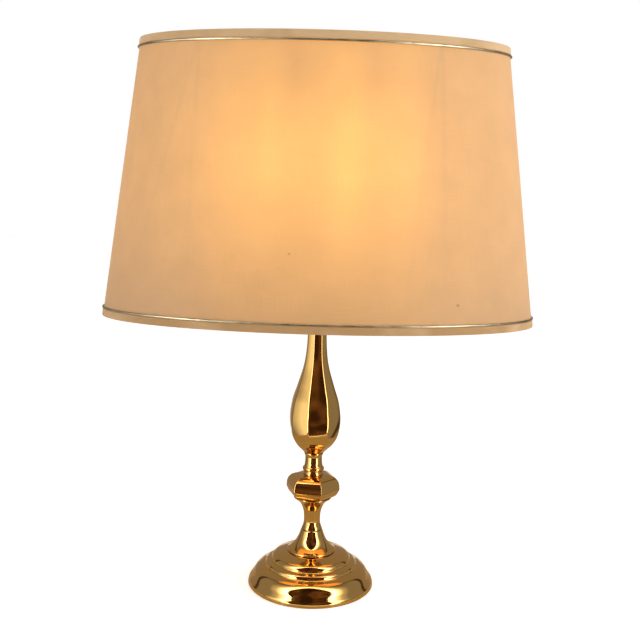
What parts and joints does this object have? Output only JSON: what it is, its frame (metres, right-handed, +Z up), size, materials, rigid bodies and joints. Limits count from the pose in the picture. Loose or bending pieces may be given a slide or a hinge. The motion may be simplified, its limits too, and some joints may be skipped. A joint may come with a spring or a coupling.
{
  "type": "table lamp",
  "caption": "Two-light table lamp: brass baluster stem with a hexagonal knop on a round stepped foot, under a tapered oval fabric shade.",
  "frame": {"origin": "centre of the round foot, on the surface that the lamp stands on", "axes": "+Z up along the stem; +X along the wide way of the oval shade, to the right in the picture; -Y to the front"},
  "size_m": [0.4506, 0.214, 0.57],
  "materials": {
    "brass": "polished and lacquered",
    "iron": "as cast, rough",
    "steel": "zinc plated",
    "felt": "pressed wool felt",
    "black_plastic": "moulded phenolic, satin",
    "porcelain": "glazed",
    "opal_glass": "opal, satin",
    "fabric": "fine slub weave laminated on a stiff backing",
    "tape": "folded bias tape",
    "metal_braid": "twisted metallic thread"
  },
  "bodies": {
    "stand": {"foot_shell": "brass", "foot_weight": "iron", "felt_pad": "felt", "cord_grommet": "black_plastic", "clamp_washer": "steel", "clamp_nut": "steel", "threaded_rod": "steel", "bell": "brass", "lower_stem": "brass", "knop": "brass", "neck": "brass", "baluster": "brass", "stem_cap": "brass", "cluster_body": "brass", "cluster_arm_left": "brass", "cluster_arm_right": "brass", "arm_nut_left": "brass", "arm_nut_right": "brass", "holder_cap_left": "brass", "holder_cap_right": "brass", "holder_shell_left": "black_plastic", "holder_shell_right": "black_plastic", "holder_insulator_left": "porcelain", "holder_insulator_right": "porcelain", "screw_sleeve_left": "brass", "screw_sleeve_right": "brass", "centre_contact_left": "brass", "centre_contact_right": "brass", "shade_stub": "steel", "stub_nut": "brass"},
    "seat": {"shade_seat": "brass"},
    "shade": {"carrier_hub": "steel", "carrier_arm_front_left": "steel", "carrier_arm_front_right": "steel", "carrier_arm_back_left": "steel", "carrier_arm_back_right": "steel", "hoop_top": "steel", "hoop_bottom": "steel", "shade_cover": "fabric", "edge_tape_top": "tape", "edge_tape_bottom": "tape", "trim_cord_top": "metal_braid", "trim_cord_bottom": "metal_braid"},
    "thumb_nut": {"finial": "brass"},
    "bulb_left": {"bulb_tip_left": "black_plastic", "bulb_cap_left": "steel", "bulb_glass_left": "opal_glass"},
    "bulb_right": {"bulb_tip_right": "black_plastic", "bulb_cap_right": "steel", "bulb_glass_right": "opal_glass"}
  },
  "joints": [
    {"name": "shade_turn", "type": "hinge", "parent": "stand", "child": "seat", "pos_m": [0, 0, 0.3575], "axis": [0, 0, 1], "range_deg": [-25, 25]},
    {"name": "shade_lift", "type": "slide", "parent": "seat", "child": "shade", "axis": [0, 0, 1], "range_m": [0, 0.2]},
    {"name": "finial_turn", "type": "hinge", "parent": "shade", "child": "thumb_nut", "pos_m": [0, 0, 0.37], "axis": [0, 0, 1], "continuous": true},
    {"name": "bulb_left_unscrew", "type": "slide", "parent": "stand", "child": "bulb_left", "axis": [0, 0, 1], "range_m": [0, 0.03]},
    {"name": "bulb_right_unscrew", "type": "slide", "parent": "stand", "child": "bulb_right", "axis": [0, 0, 1], "range_m": [0, 0.03]}
  ]
}
